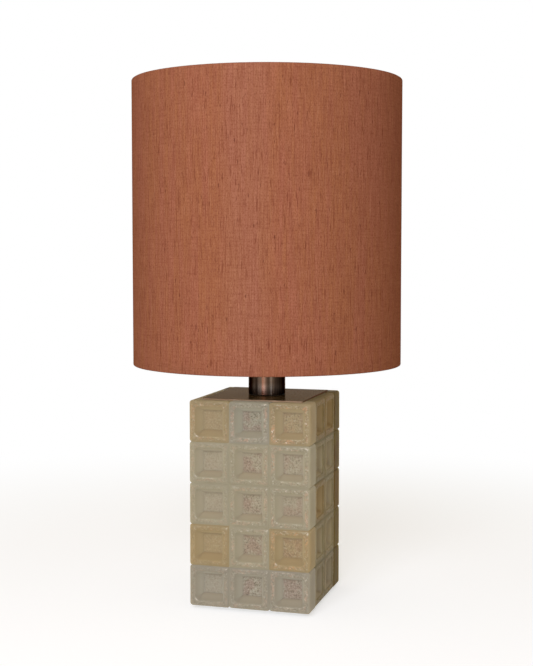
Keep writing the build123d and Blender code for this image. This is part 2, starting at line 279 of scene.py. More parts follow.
def rust_silk():
    """Dupion silk: fine upright warp, faint weft, long slubs, a few dark nubs and a painted sheen
    band.
    """
    silk = new_finish("rust_silk")
    x, y, z = silk.split(silk.place())
    round_cloth = silk.math("ARCTAN2", x, 0 - y) * SHADE_RADIUS

    def threads(along, across, detail=2.0, shift=0.0):
        """Noise with so many grains a metre round the shade and up it."""
        return silk.cloud(silk.joined(round_cloth * across + shift, z * along), 1.0, detail, 0.6)

    panels = threads(3, 22, 2.0, 5) * 0.5 + threads(7, 120, 2.0, 11) * 0.5
    warp = threads(22, 700)
    fibre = threads(80, 1500, 3.0, 31)
    weft = threads(560, 45, 2.0, 17)
    mottle = threads(460, 950, 2.0, 41)
    dark_threads = silk.step(threads(11, 900, 2.0, 83), 0.61, 0.71)
    slubs = silk.step(threads(42, 520, 2.0, 53), 0.59, 0.72)
    nubs = silk.step(threads(85, 620, 1.0, 71), 0.68, 0.77)
    pale_threads = silk.step(threads(10, 900, 1.0, 97), 0.7, 0.8)

    colour = silk.mix(silk.step(panels, 0.4, 0.6), tone(170, 109, 74), tone(172, 107, 83))
    # Painted sheen: a paler upright band a little right of the front.
    from_sheen_band = silk.math("ABSOLUTE", round_cloth - 26 * MM + warp * 12 * MM)
    painted_sheen_band = silk.step(from_sheen_band, 34 * MM, 10 * MM)
    colour = silk.mix(painted_sheen_band * 0.35, colour, tone(174, 122, 100))
    colour = silk.mix(silk.step(warp, 0.7, 0.3) * 0.68, colour, tone(142, 82, 60))
    colour = silk.mix(silk.step(fibre, 0.42, 0.7) * 0.44, colour, tone(188, 130, 100))
    colour = silk.mix(silk.step(weft, 0.4, 0.7) * 0.3, colour, tone(138, 80, 60))
    colour = silk.mix(silk.step(mottle, 0.54, 0.36) * 0.5, colour, tone(130, 72, 52))
    colour = silk.mix(pale_threads * 0.5, colour, tone(196, 146, 112))
    colour = silk.mix(dark_threads * 0.6, colour, tone(128, 68, 48))
    colour = silk.mix(slubs * 0.7, colour, tone(120, 62, 44))
    colour = silk.mix(nubs * 0.75, colour, tone(96, 46, 36))
    relief = warp * 0.4 + fibre * 0.3 + weft * 0.3 + slubs * 0.5 + nubs * 0.4
    return silk.surface(
        Base_Color=colour,
        Roughness=0.72 - silk.step(warp, 0.4, 0.8) * 0.14,
        Specular_IOR_Level=0.0,
        Normal=silk.bumped(relief, 0.25 * MM),
    )


def neck_bronze():
    """Polished dark bronze on the neck: painted reflections as bright bands up it, dark between,
    with fine drawn lines.
    """
    bronze = new_finish("neck_bronze")
    x, y, z = bronze.split(bronze.place())
    angle = bronze.math("ARCTAN2", x, 0 - y)
    sway = bronze.cloud(bronze.joined(angle * 3, z * 12), 1.0, 1.0)
    lines = bronze.cloud(bronze.joined(angle * 38, z * 8), 1.0, 3.0, 0.6)
    turn = bronze.math("FRACT", angle * (BAND_REPEATS / FULL_TURN) + sway * 0.04 + BAND_TURN)
    colour = bronze.node("ValToRGB", {"stops": PAINTED_NECK_REFLECTIONS}, {0: turn})
    # Painted shade higher up the neck, under the shade's rim, and painted light towards its foot.
    near_foot = bronze.step(z, neck_low.z + 15 * MM, neck_low.z + 4.5 * MM)
    painted_shade_and_light = bronze.mix(near_foot, (0.78, 0.76, 0.74), (1.95, 2.3, 2.7))
    colour = bronze.mix(1.0, colour, painted_shade_and_light, "MULTIPLY")
    colour = bronze.mix(bronze.step(lines, 0.45, 0.8) * 0.06, colour, tone(190, 160, 140))
    colour = bronze.mix(bronze.step(lines, 0.5, 0.25) * 0.35, colour, tone(24, 15, 10))
    return bronze.surface(
        Base_Color=colour,
        Metallic=1.0,
        Roughness=0.2 + lines * 0.12,
        Specular_Tint=(0.4, 0.33, 0.28),
        Normal=bronze.bumped(lines, 0.01 * MM),
    )


def plate_bronze():
    """The same bronze on the top plate, polished flat, with faint long brushing and a painted
    highlight on its edges.
    """
    bronze = new_finish("plate_bronze")
    x, y, z = bronze.split(bronze.place())
    brushing = bronze.cloud(bronze.joined(x * 12, y * 260), 1.0, 3.0, 0.6)
    patches = bronze.cloud(bronze.place(), 35, 2.0)
    colour = bronze.mix(brushing, tone(112, 90, 60), tone(124, 102, 72))
    colour = bronze.mix(bronze.step(patches, 0.35, 0.7) * 0.5, colour, tone(104, 82, 54))
    # Painted highlight: the plate's upright edges are much lighter.
    facing = bronze.node("TexCoord", output="Normal")
    edge = bronze.step(bronze.split(facing)[2], 0.9, 0.5)
    return bronze.surface(
        Base_Color=bronze.mix(edge, colour, tone(206, 178, 158)),
        Metallic=0.6,
        Specular_IOR_Level=0.0,
        Roughness=0.1 + patches * 0.07,
        Specular_Tint=(0.19, 0.09, 0.0),
        Normal=bronze.bumped(brushing, 0.003 * MM),
    )


def plain_metal(name, colour, roughness):
    """Plated or raw metal with faint scratches and dull patches."""
    metal = new_finish(name)
    place = metal.place()
    patches = metal.cloud(place, 90, 3.0)
    grain = metal.cloud(place, 900, 2.0)
    dull = tuple(part * 0.72 for part in colour)
    return metal.surface(
        Base_Color=metal.mix(metal.step(patches, 0.35, 0.7) * 0.6, colour, dull),
        Metallic=1.0,
        Roughness=roughness + patches * 0.12,
        Normal=metal.bumped(grain, 0.02 * MM),
    )


def moulded(name, colour, roughness, grain_scale=1500, grain_depth=0.03, dust=0.4):
    """Rubber, plastic, fibre or ceramic with a fine even grain and a little dust in places."""
    stuff = new_finish(name)
    place = stuff.place()
    grain = stuff.cloud(place, grain_scale, 2.0)
    patches = stuff.cloud(place, 60, 2.0)
    dusty = tuple(part * 0.8 + 0.02 for part in colour)
    speckled = stuff.mix(stuff.step(grain, 0.3, 0.7) * 0.25, colour, dusty)
    return stuff.surface(
        Base_Color=stuff.mix(stuff.step(patches, 0.4, 0.75) * dust, speckled, dusty),
        Roughness=roughness + grain * 0.1,
        Normal=stuff.bumped(grain, grain_depth * MM),
    )


cover_low, cover_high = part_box("shade_cover")
SHADE_RADIUS = cover_high.x
neck_low, neck_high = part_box("neck")

# Colours of each glass as a screen shows them: of its body, of its well, painted lighter as painted
# light coming through the glass, and of its painted warm reflections
GLASS_COLOURS = {
    "olive": ((171, 153, 119), (182, 164, 130), (206, 162, 126)),
    "grey": ((167, 160, 142), (177, 171, 152), (204, 168, 146)),
    "sage": ((171, 162, 138), (183, 172, 148), (206, 170, 144)),
    "amber": ((171, 151, 114), (183, 163, 126), (208, 162, 118)),
    "smoke": ((163, 155, 138), (178, 170, 152), (200, 169, 148)),
}
GLASS = {
    glass: cast_glass(f"{glass}_glass", *(tone(*colour) for colour in colours))
    for glass, colours in GLASS_COLOURS.items()
}
SILK = rust_silk()

# The row of painted reflection bands comes three times round the neck, once with its middle right
# of the front
BAND_REPEATS = 3
BAND_SIDE = 16
BAND_TURN = 0.5 - 0.045 - BAND_SIDE * BAND_REPEATS / 360
PAINTED_NECK_REFLECTIONS = (
    (0.0, tone(20, 13, 9)),
    (0.03, tone(30, 20, 14)),
    (0.13, tone(74, 58, 46)),
    (0.2, tone(52, 38, 29)),
    (0.26, tone(120, 101, 87)),
    (0.32, tone(122, 100, 86)),
    (0.37, tone(190, 134, 108)),
    (0.41, tone(184, 142, 120)),
    (0.45, tone(120, 94, 78)),
    (0.5, tone(84, 66, 53)),
    (0.54, tone(90, 72, 58)),
    (0.59, tone(160, 140, 124)),
    (0.63, tone(108, 88, 72)),
    (0.7, tone(62, 47, 37)),
    (0.82, tone(34, 24, 17)),
    (1.0, tone(20, 13, 9)),
)
NECK_BRONZE = neck_bronze()
PLATE_BRONZE = plate_bronze()
ZINC = plain_metal("zinc_plating", (0.55, 0.55, 0.53), 0.34)
BRASS = plain_metal("nickelled_brass", (0.70, 0.58, 0.36), 0.26)
CAP_METAL = plain_metal("cap_aluminium", (0.72, 0.72, 0.71), 0.24)
ENAMEL = moulded("white_enamel", (0.74, 0.73, 0.69), 0.28, 400, 0.02)
WIRE_COAT = moulded("white_powder_coat", (0.78, 0.77, 0.73), 0.38, 1300, 0.05)
RUBBER = moulded("black_rubber", (0.028, 0.028, 0.028), 0.68)
FIBRE = moulded("black_fibre", (0.022, 0.019, 0.016), 0.75)
CERAMIC = moulded("glazed_ceramic", (0.80, 0.78, 0.72), 0.18, 300, 0.02)
HOLDER_PLASTIC = moulded("holder_plastic", (0.022, 0.022, 0.023), 0.32, 1400, 0.03)
LINING = moulded("lining_laminate", (0.80, 0.77, 0.70), 0.55, 700, 0.04, 0.1)
BULB_PLASTIC = moulded("bulb_plastic", (0.80, 0.80, 0.78), 0.40, 1500, 0.02)
VITRITE = moulded("black_vitrite", (0.015, 0.015, 0.018), 0.15, 500, 0.01)
OPAL = moulded("opal_glass", (0.84, 0.83, 0.80), 0.22, 900, 0.002, 0.1)


# Meshes


def new_piece(name, points, faces, finishes, body, node, sharp=35, told=None, picks=None):
    """A piece from points and faces, with its finishes, its body and the node it stands for.

    Edges sharper than so many degrees stay crisp. told holds values for each point, and picks
    the number of each face's finish."""
    mesh = bpy.data.meshes.new(name)
    mesh.from_pydata([tuple(point) for point in points], [], faces)
    for finish in finishes:
        mesh.materials.append(finish)
    if picks is not None:
        mesh.polygons.foreach_set("material_index", picks)
    for label, values in (told or {}).items():
        if isinstance(values[0], tuple):
            attribute = mesh.attributes.new(label, "FLOAT_VECTOR", "POINT")
            attribute.data.foreach_set("vector", [part for value in values for part in value])
        else:
            attribute = mesh.attributes.new(label, "FLOAT", "POINT")
            attribute.data.foreach_set("value", values)
    build = bmesh.new()
    build.from_mesh(mesh)
    bmesh.ops.remove_doubles(build, verts=build.verts, dist=1e-7)
    bmesh.ops.recalc_face_normals(build, faces=build.faces)
    build.to_mesh(mesh)
    build.free()
    mesh.polygons.foreach_set("use_smooth", [True] * len(mesh.polygons))
    mesh.set_sharp_from_angle(angle=math.radians(sharp))
    piece = bpy.data.objects.new(name, mesh)
    bpy.context.scene.collection.objects.link(piece)
    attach(piece, body)
    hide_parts(node)
    return piece


def faces_round(rows, columns, closed=False):
    """Faces between rows of points that each go round.

    The last row joins the first if closed, and else both get a face over them."""
    faces = []
    for row in range(rows if closed else rows - 1):
        start, after = row * columns, (row + 1) % rows * columns
        for column in range(columns):
            beside = (column + 1) % columns
            faces.append((start + column, start + beside, after + beside, after + column))
    if not closed:
        faces += [tuple(range(start, start + columns)) for start in (0, (rows - 1) * columns)]
    return faces


def counted_on(faces, first):
    """The same faces, for points that are counted on from first."""
    return [tuple(first + corner for corner in face) for face in faces]


def limited(value):
    """The value, held between 0 and 1."""
    return min(1.0, max(0.0, value))


def eased(outline, radius):
    """A closed outline with its corners rounded."""
    rounded = []
    steps = 4
    count = len(outline)
    for index, corner in enumerate(outline):
        corner = Vector(corner)
        before = Vector(outline[index - 1]) - corner
        after = Vector(outline[(index + 1) % count]) - corner
        straight_on = abs(before.normalized().cross(after.normalized())) < 0.03
        if corner.x < 1e-9 or straight_on:
            rounded.append(tuple(corner))
            continue
        reach = min(radius, 0.45 * before.length, 0.45 * after.length)
        start = corner + before.normalized() * reach
        end = corner + after.normalized() * reach
        for step in range(steps + 1):
            share = step / steps
            point = start * (1 - share) ** 2 + corner * 2 * share * (1 - share) + end * share ** 2
            rounded.append(tuple(point))
    return rounded


def turned(outline, steps=128, shaped=None):
    """Points and faces of a closed outline of radius and height turned about the axis.

    shaped may change the radius by the angle, for threads, ribs and notches."""
    points = []
    for step in range(steps):
        angle = step / steps * FULL_TURN
        for radius, height in outline:
            reach = shaped(angle, radius, height) if shaped else radius
            points.append((reach * math.cos(angle), reach * math.sin(angle), height))
    return points, faces_round(steps, len(outline), closed=True)


def turned_piece(name, outline, finish, body, node, ease, steps=128, shaped=None):
    """A turned piece with its edges eased."""
    points, faces = turned(eased(outline, ease), steps, shaped)
    return new_piece(name, points, faces, [finish], body, node)


def upright(radius, low, high, spacing):
    """Points up a cylinder's side, close enough for a thread to be cut in it."""
    count = round((high - low) / spacing)
    return [(radius, low + (high - low) * step / count) for step in range(count + 1)]


def thread(low, high, pitch, depth, least):
    """Cuts a rounded thread into the outside of a turned piece between two heights."""

    def cut(angle, radius, height):
        if radius < least or not low < height < high:
            return radius
        fade = min(1.0, (height - low) / pitch * 2, (high - height) / pitch * 2)
        crest = 0.5 + 0.5 * math.cos(FULL_TURN * height / pitch - angle)
        return radius - depth * fade * (1 - crest ** 0.7)

    return cut


def tube(inner, outer, bottom, top):
    """The half section of a plain tube."""
    return [(inner, bottom), (outer, bottom), (outer, top), (inner, top)]


# Glass column

ROUNDING_WIDTH = 2.8 * MM
SEAM_DEPTH = 0.65 * MM
EDGE_DEPTH = 2.3 * MM
ARRIS = 0.2 * MM
SIDE_CORNER = 0.8 * MM
FACE_CORNER = 2.6 * MM
FREE_CORNER = 2.0 * MM
RIM_AROUND = 25 * MM
MOUTH_HALF = 16.0 * MM
MOUTH_CORNER = 4.6 * MM
FLOOR_HALF = 10.7 * MM
WELL_DEPTH = 13.9 * MM
FLOOR_CORNER = 0.5 * MM
LIP_RADIUS = 1.2 * MM
LIP_TURN = math.radians(68)
SIDE_STEPS = 17
CORNER_STEPS = 5
HAMMER_DEPTH = 0.32 * MM
FACE_WAVE = 0.12 * MM
SIDE_WAVE = 0.0012
# The way the painted highlights on the lips face
PAINTED_HIGHLIGHT_WAY = Vector((0.6, 0.8))
INLET_HOLE = 5.3 * MM
COURSES = 5

SIDES = {"front": 0, "right": 90, "back": 180, "left": 270}
GLASS_PATTERN = {
    "front": "olive grey olive,sage sage sage,sage sage sage,amber sage amber,smoke smoke smoke",
    "right": "olive amber,sage sage,olive sage,sage sage,smoke smoke",
    "back": "sage olive sage,sage amber sage,olive sage sage,sage sage amber,smoke sage smoke",
    "left": "sage olive,amber sage,sage sage,sage olive,smoke sage",
}
# How much painted light each side gets, as a glow and as painted shade where it is low, and how
# worn the wells' floors are in each column
PAINTED_LIGHT_BY_SIDE = {"front": 1.0, "right": 0.0, "back": 0.4, "left": 0.5}
WORN = (0.15, 1.1, 0.75)
LOW_WEAR = 0.4
ROW_SLOTS = ("glass_olive", "glass_grey_green", "glass_grey_green", "glass_amber", "glass_grey")
SKIN_VALUES = ("rim", "floor", "flank", "sunk", "shelf", "nook", "gleam", "skin")


def tile_rings(half, depth):
    """The rings of a tile from its bonded back over the rim to the middle of the well's floor.

    Each ring has its half width, its corner radius, its depth under the face at a seam and at a
    free edge, and how much of it is rim, floor and lip."""
    rings = []
    for share in (1.0, 0.72, 0.45, 0.22):
        rings.append((half, SIDE_CORNER, depth * share, depth * share, 0, 0, 0))
    rings.append((half, SIDE_CORNER, SEAM_DEPTH + ARRIS, EDGE_DEPTH + ARRIS, 0, 0, 0))
    for step in range(9):
        angle = step / 8 * math.pi / 2
        across = half - ROUNDING_WIDTH * (1 - math.cos(angle)) - 0.1 * ARRIS
        corner = SIDE_CORNER + (FACE_CORNER - SIDE_CORNER) * step / 8
        seam_drop = SEAM_DEPTH * math.cos(angle) ** 2
        edge_drop = EDGE_DEPTH * (1 - math.sin(angle))
        lip = (0, 0, 0, 0, 0, 0.5, 1, 1, 0.3)[step]
        rings.append((across, corner, seam_drop, edge_drop, max(0, step - 5) / 3, 0, lip))
    rim_inner = MOUTH_HALF + LIP_RADIUS
    rim_outer = half - ROUNDING_WIDTH
    for step in range(1, 5):
        share = step / 5
        corner = FACE_CORNER + (MOUTH_CORNER - FACE_CORNER) * share
        rings.append((rim_outer + (rim_inner - rim_outer) * share, corner, 0, 0, 1, 0, 0))
    for step in range(4):
        angle = step / 3 * LIP_TURN
        inset = LIP_RADIUS * math.sin(angle)
        drop = LIP_RADIUS * (1 - math.cos(angle))
        lip = -(0.2, 1, 1, 0)[step]
        rings.append((rim_inner - inset, MOUTH_CORNER, drop, drop, 1 - step / 3, 0, lip))
    for step in range(1, 9):
        share = step / 8
        across = rim_inner - LIP_RADIUS + (FLOOR_HALF - rim_inner + LIP_RADIUS) * share
        corner = max(FLOOR_CORNER, MOUTH_CORNER - (MOUTH_HALF - across) * 0.9)
        down = LIP_RADIUS + (WELL_DEPTH - LIP_RADIUS) * share ** 0.96
        rings.append((across, corner, down, down, 0, 0.3 if step == 8 else 0, 0))
    for share in (0.92, 0.8, 0.66, 0.5, 0.34, 0.18, 0.04):
        is_floor = 0.7 if share > 0.9 else 1
        across, corner = FLOOR_HALF * share, FLOOR_CORNER * share
        rings.append((across, corner, WELL_DEPTH, WELL_DEPTH, 0, is_floor, 0))
    return rings


def ring_points(half, corner, spread, free_sides):
    """Points of a rounded square, as many for any size, each with its way out and how free it is.

    Corners next to a free side are rounder, by as much as the ring is spread to the outside."""
    corners = []
    for quarter, free in enumerate(free_sides):
        corners.append(corner + FREE_CORNER * spread * max(free, free_sides[(quarter + 1) % 4]))
    points = []
    for quarter, corner in enumerate(corners):
        turn = Matrix.Rotation(quarter * math.pi / 2, 2)
        low, high = corners[quarter - 1] - half, half - corner
        for step in range(SIDE_STEPS):
            flat = Vector((half, low + (high - low) * step / SIDE_STEPS))
            points.append((turn @ flat, turn @ Vector((1, 0)), free_sides[quarter]))
        for step in range(CORNER_STEPS):
            share = step / CORNER_STEPS
            way = Vector((math.cos(share * math.pi / 2), math.sin(share * math.pi / 2)))
            free = free_sides[quarter] * (1 - share) + free_sides[(quarter + 1) % 4] * share
            points.append((turn @ (Vector((high, high)) + way * corner), turn @ way, free))
    return points


def skin_at(across, down, way_out, is_rim, is_floor, lip, half):
    """What the finish is told of one point of a tile, apart from its place."""
    in_well = FLOOR_HALF <= across < MOUTH_HALF
    beside_floor = 0.85 * FLOOR_HALF < across < 1.1 * FLOOR_HALF
    faces_painted_highlight = max(0.0, way_out.dot(PAINTED_HIGHLIGHT_WAY) * math.copysign(1, lip))
    return {
        "rim": is_rim,
        "floor": is_floor,
        "flank": float(across > 0.99 * half),
        "sunk": down / WELL_DEPTH if across < MOUTH_HALF else 0,
        # Painted shade on the well's bottom wall
        "shelf": max(0.0, -way_out.y) * (0.4 + 0.6 * down / WELL_DEPTH) if in_well else 0,
        # Painted shadow under the well's upper wall
        "nook": max(0.0, way_out.y) ** 2 * max(0.3, is_floor) if beside_floor else 0,
        # Painted highlight on lips that face up and right
        "gleam": abs(lip) * faces_painted_highlight ** 7,
    }


def cast_tile(half, depth, free_sides, dice, hole=0.0):
    """One tile as cast by hand: across, up and outwards from its face, with what its skin is.

    A tile with a hole is drilled through the middle of its well."""
    points = []
    told = {name: [] for name in SKIN_VALUES}
    lean = Matrix.Rotation(dice.uniform(-0.002, 0.002), 2)
    sunk = dice.uniform(0.1, 0.3) * MM
    shift = Vector((dice.uniform(-0.3, 0.3), dice.uniform(-0.3, 0.3))) * MM
    seed = Vector((dice.uniform(-9, 9), dice.uniform(-9, 9), dice.uniform(-9, 9)))
    rings = tile_rings(half, depth)
    if hole:
        bore = [(hole, hole, down, down, 0, 0, 0) for down in (WELL_DEPTH, depth * 0.8, depth)]
        rings = rings[:-4] + bore
    for across, corner, seam_drop, edge_drop, is_rim, is_floor, lip in rings:
        inside = limited((half - across) / (half - MOUTH_HALF))
        ring = ring_points(across, corner, 1 - inside, free_sides)
        for index, (point, way_out, free) in enumerate(ring):
            if corner and corner == across:
                point = point.normalized() * hole
            down = seam_drop + (edge_drop - seam_drop) * free
            flat = lean @ point + shift * (0 if hole and across < FLOOR_HALF else inside)
            spot = Vector((flat.x, flat.y, down)) / MM
            wave = noise.noise(spot * 0.09 + seed)
            flat = flat * (1 - SIDE_WAVE * (1 + wave) * (1 - inside))
            dents = noise.noise(spot * 0.42 + seed) + 0.5 * noise.noise(spot * 0.9 + seed)
            hammered = HAMMER_DEPTH * dents * max(is_rim, 0.8 * is_floor)
            outwards = -down + hammered
            if down < depth * 0.99:
                outwards = min(0.0, outwards - sunk - FACE_WAVE * (1 - wave) * (1 - is_floor))
            points.append((flat.x, flat.y, outwards))
            angle = index / len(ring) * FULL_TURN
            round_x, round_y = math.cos(angle) * RIM_AROUND, math.sin(angle) * RIM_AROUND
            values = skin_at(across, down, way_out, is_rim, is_floor, lip, half)
            values["skin"] = tuple(Vector((round_x, round_y, across + down)) + seed)
            for label, value in values.items():
                told[label].append(value)
    return points, faces_round(len(rings), len(ring), closed=bool(hole)), told


def painted_sparkle_and_grit_of(course, column, dice):
    """How strongly a tile's rim carries painted sparkle and reflections, and its grit: most in the
    top course and towards the right.
    """
    strength = 0.25 + 0.2 * column + (0.15 + 0.12 * column) * (course == 1)
    return min(1.0, strength + dice.uniform(-0.05, 0.05))


def glass_row(side, course):
    """One course on one side of the column, a piece of two or three tiles."""
    node = f"{side}_glass_row_{course}"
    low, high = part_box(node)
    size = high.z - low.z
    turn = Matrix.Rotation(math.radians(SIDES[side]), 3, "Z")
    extent = turn.inverted() @ (high - low)
    span, depth = abs(extent.x), abs(extent.y)
    middle = turn.inverted() @ ((low + high) / 2)
    face = middle.y - depth / 2
    glasses = GLASS_PATTERN[side].split(",")[course - 1].split()
    pitch = (span - size) / (len(glasses) - 1)
    dice = random.Random(f"{side} {course}")
    points, faces, picks = [], [], []
    told = {}
    finishes = [GLASS[glass] for glass in sorted(set(glasses))]
    slab = side in ("front", "back")
    for column, glass in enumerate(glasses):
        free_sides = (
            float(slab and column == len(glasses) - 1),
            float(course == 1),
            float(slab and column == 0),
            float(course == COURSES),
        )
        hole = INLET_HOLE if (side, course, column) == ("back", COURSES, 1) else 0.0
        tile_points, tile_faces, skin = cast_tile(pitch / 2, depth, free_sides, dice, hole)
        tile_middle = middle.x + (column - (len(glasses) - 1) / 2) * pitch
        faces += counted_on(tile_faces, len(points))
        for across, up, out in tile_points:
            points.append(turn @ Vector((tile_middle + across, face - out, middle.z + up)))
        picks += [sorted(set(glasses)).index(glass)] * len(tile_faces)
        skin["glitter"] = [painted_sparkle_and_grit_of(course, column, dice)] * len(tile_points)
        wear = WORN[column] + LOW_WEAR * (course == COURSES and column > 0)
        skin["worn"] = [wear] * len(tile_points)
        flanks = skin.pop("flank")
        skin["lit"] = [PAINTED_LIGHT_BY_SIDE[side] * (1 - 0.6 * flank) for flank in flanks]
        skin["raw_side"] = [flank * (side == "back") for flank in flanks]
        for label, values in skin.items():
            told.setdefault(label, []).extend(values)
    name, slot = f"{side}_tiles_{course}", ROW_SLOTS[course - 1]
    new_piece(name, points, faces, finishes, "base", node, 40, told, picks)


for side in SIDES:
    for course in range(1, COURSES + 1):
        glass_row(side, course)

# Neck

NECK_WALL, NECK_FLOOR, NECK_BORE = 1.6 * MM, 3 * MM, 5.2 * MM
turned_piece(
    "turned_neck",
    [
        (NECK_BORE, neck_low.z),
        (neck_high.x, neck_low.z),
        (neck_high.x, neck_high.z),
        (neck_high.x - NECK_WALL, neck_high.z),
        (neck_high.x - NECK_WALL, neck_low.z + NECK_FLOOR),
        (NECK_BORE, neck_low.z + NECK_FLOOR),
    ],
    NECK_BRONZE,
    "base",
    "neck",
    ease=0.4 * MM,
    steps=192,
)

# Shade

COVER_INSIDE = 144.3 * MM
HEM_DEPTH = 12 * MM
CLOTH = 0.3 * MM
SEAM_OVERLAP = 12 * MM
SEAM_RISE = 0.06
RIPPLE = 0.15 * MM
COVER_COLUMNS = 288
COVER_ROWS = 24


def cover_outline():
    """The cloth's section, from the hem inside the top edge, over it, down and round the bottom."""
    mid_radius = (SHADE_RADIUS + COVER_INSIDE) / 2
    roll = (SHADE_RADIUS - COVER_INSIDE) / 2
    rise = roll * 0.6
    side = cover_high.z - cover_low.z - 2 * roll

    def rolled_edge(first_angle, middle):
        """Half a turn of the section round an edge."""
        angles = [first_angle - step / 6 * math.pi for step in range(7)]
        return [
            (mid_radius + roll * math.cos(angle), middle + rise * math.sin(angle))
            for angle in angles
        ]

    outline = [(COVER_INSIDE, cover_high.z - HEM_DEPTH)]
    outline += rolled_edge(math.pi, cover_high.z - rise)
    for step in range(1, COVER_ROWS):
        outline.append((SHADE_RADIUS, cover_high.z - roll - step / COVER_ROWS * side))
    outline += rolled_edge(0, cover_low.z + rise)
    outline.append((COVER_INSIDE, cover_low.z + HEM_DEPTH))
    return outline


def silk_cover():
    """The stretched silk cover, one cloth with turned-in hems and an overlap at the back."""
    outer = [Vector(point) for point in cover_outline()]
    inner = []
    for index, point in enumerate(outer):
        along = outer[min(index + 1, len(outer) - 1)] - outer[max(index - 1, 0)]
        inner.append(point + Vector((-along.y, along.x)).normalized() * CLOTH)
    ring = outer + inner[::-1]
    points = []
    for column in range(COVER_COLUMNS + 1):
        from_seam = column / COVER_COLUMNS * (FULL_TURN + SEAM_OVERLAP / SHADE_RADIUS)
        angle = math.pi / 2 + from_seam
        lift = CLOTH * 1.2 * limited((from_seam - FULL_TURN + SEAM_RISE) / SEAM_RISE)
        for radius, height in ring:
            spot = Vector((math.cos(angle) * 2.2, math.sin(angle) * 2.2, height * 9))
            ripple = RIPPLE * (noise.noise(spot) - 0.6)
            reach = radius + lift * (1 if radius > COVER_INSIDE + CLOTH else -1) + ripple
            points.append((reach * math.cos(angle), reach * math.sin(angle), height))
    faces = faces_round(COVER_COLUMNS + 1, len(ring))
    name, node = "silk_cover", "shade_cover"
    cover = new_piece(name, points, faces, [SILK], "shade", node, sharp=60)


silk_cover()

# Shade's frame


def frame_ring(name, node, bore, ease, steps=288):
    """A flat ring or thin tube of the shade, with its edges eased."""
    low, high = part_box(node)
    outline = tube(bore, high.x, low.z, high.z)
    finish, slot = (LINING, "shade_lining") if node == "shade_lining" else (WIRE_COAT, "shade_wire")
    turned_piece(name, outline, finish, "shade", node, ease, steps)


RIM_BORE = 144.5 * MM
frame_ring("styrene_lining", "shade_lining", bore=146.6 * MM, ease=0.1 * MM)
frame_ring("rolled_top_ring", "top_rim_ring", RIM_BORE, ease=0.9 * MM)
frame_ring("rolled_bottom_ring", "bottom_rim_ring", RIM_BORE, ease=0.9 * MM)
frame_ring("pressed_fitter_ring", "fitter_ring", bore=20.2 * MM, ease=0.6 * MM, steps=128)

ARM_ANGLES = (90, 210, 330)
ARM_START = Vector((30.15, 291.8)) * MM
ARM_END = Vector((144.35, 267.25)) * MM
ARM_RADIUS = 1.5 * MM
ARM_FLAT = 7 * MM
ARM_BOW = 0.25 * MM
WELD_RADIUS = Vector((1.9, 2.6, 1.1)) * MM
WELD_INSET = 1.9 * MM


def weld_bead(middle, seed):
    """A lumpy blob of weld, a little wider across than along."""
    rows, columns = 9, 14
    points = []
    for row in range(rows):
        tilt = (row + 0.5) / rows * math.pi
        for column in range(columns):
            turn = column / columns * FULL_TURN
            level = math.sin(tilt)
            way = Vector((level * math.cos(turn), level * math.sin(turn), math.cos(tilt)))
            lump = 1 + 0.18 * noise.noise(way * 1.6 + Vector((seed, 0, 0)))
            points.append(middle + way * WELD_RADIUS * lump)
    return points, faces_round(rows, columns)


def fitter_wires():
    """Three wires from the fitter ring to the bottom ring, flattened and welded at both ends."""
    points, faces = [], []
    rows, columns = 41, 16
    length = (ARM_END - ARM_START).length
    along = (ARM_END - ARM_START).normalized()
    across = Vector((-along.y, along.x))
    for number, degrees in enumerate(ARM_ANGLES):
        turn = Matrix.Rotation(math.radians(degrees), 3, "Z")
        faces += counted_on(faces_round(rows, columns), len(points))
        for row in range(rows):
            share = (1 - math.cos(row / (rows - 1) * math.pi)) / 2
            end_gap = min(share, 1 - share) * length
            flat = max(0.0, 1 - end_gap / ARM_FLAT) ** 2
            bow = across * ARM_BOW * math.sin(share * math.pi)
            middle = ARM_START.lerp(ARM_END, share) + bow
            for column in range(columns):
                angle = column / columns * FULL_TURN
                up = across * math.sin(angle) * ARM_RADIUS * (1 - 0.4 * flat)
                side = math.cos(angle) * ARM_RADIUS * (1 + 0.45 * flat)
                points.append(turn @ Vector((middle.x + up.x, side, middle.y + up.y)))
        spots = (ARM_START + along * WELD_INSET, ARM_END - along * WELD_INSET)
        for end, spot in enumerate(spots):
            bead_points, bead_faces = weld_bead(Vector((spot.x, 0, spot.y)), number * 2 + end)
            faces += counted_on(bead_faces, len(points))
            points += [turn @ point for point in bead_points]
    name, node = "welded_fitter_wires", "fitter_arms"
    new_piece(name, points, faces, [WIRE_COAT], "shade", node, sharp=50)


fitter_wires()

# Lampholder

sleeve_low, sleeve_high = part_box("holder_sleeve")
COLLAR_UNDERSIDE = neck_high.z
COLLAR_TOP = COLLAR_UNDERSIDE + 2.5 * MM
SLEEVE_BORE, SPIGOT, SLEEVE_THREAD = 14.6 * MM, 18.7 * MM, 19.6 * MM
turned_piece(
    "threaded_sleeve",
    [
        (SLEEVE_BORE, sleeve_low.z),
        (SPIGOT, sleeve_low.z),
        (SPIGOT, COLLAR_UNDERSIDE),
        (sleeve_high.x, COLLAR_UNDERSIDE),
        (sleeve_high.x, COLLAR_TOP),
        *upright(SLEEVE_THREAD, COLLAR_TOP, sleeve_high.z, 0.36 * MM),
        (SLEEVE_BORE, sleeve_high.z),
    ],
    HOLDER_PLASTIC,
    "base",
    "holder_sleeve",
    ease=0.5 * MM,
    steps=160,
    shaped=thread(
        low=COLLAR_TOP + 1.2 * MM,
        high=sleeve_high.z - 0.3 * MM,
        pitch=2.8 * MM,
        depth=0.75 * MM,
        least=SLEEVE_THREAD - 0.01 * MM,
    ),
)

ring_low, ring_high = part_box("retaining_ring")
RING_BORE = 19.85 * MM
RING_NOTCHES = 8
NOTCH_WIDTH, NOTCH_DEPTH, NOTCH_EASE = 4.0 * MM, 1.6 * MM, 0.6 * MM


